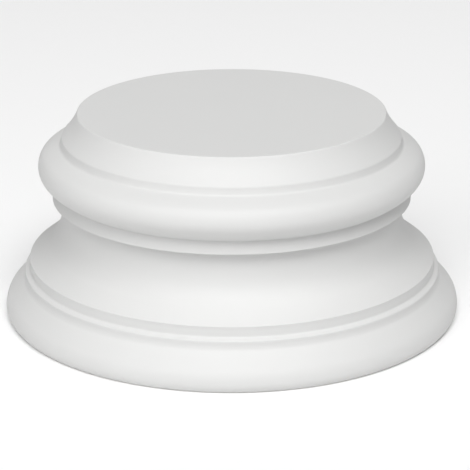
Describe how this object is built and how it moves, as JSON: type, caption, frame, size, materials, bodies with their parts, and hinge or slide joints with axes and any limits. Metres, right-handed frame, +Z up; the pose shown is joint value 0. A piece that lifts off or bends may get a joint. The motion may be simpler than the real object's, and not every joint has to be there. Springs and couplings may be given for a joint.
{
  "type": "column base",
  "caption": "Round turned column base: a hollow flare under the shaft seat, an upper torus, a neck fillet, a deep scotia, a listel and a wide lower torus on a flat underside.",
  "frame": {"origin": "centre of the flat underside, on the floor", "axes": "+Z up along the axis that the form is turned about; X and Y are free, because the form is round"},
  "size_m": [0.329, 0.329, 0.1474],
  "materials": {
    "primed_white": "matt white primer on smooth moulded polyurethane foam"
  },
  "bodies": {
    "root": {"column_base": "primed_white"}
  },
  "joints": []
}
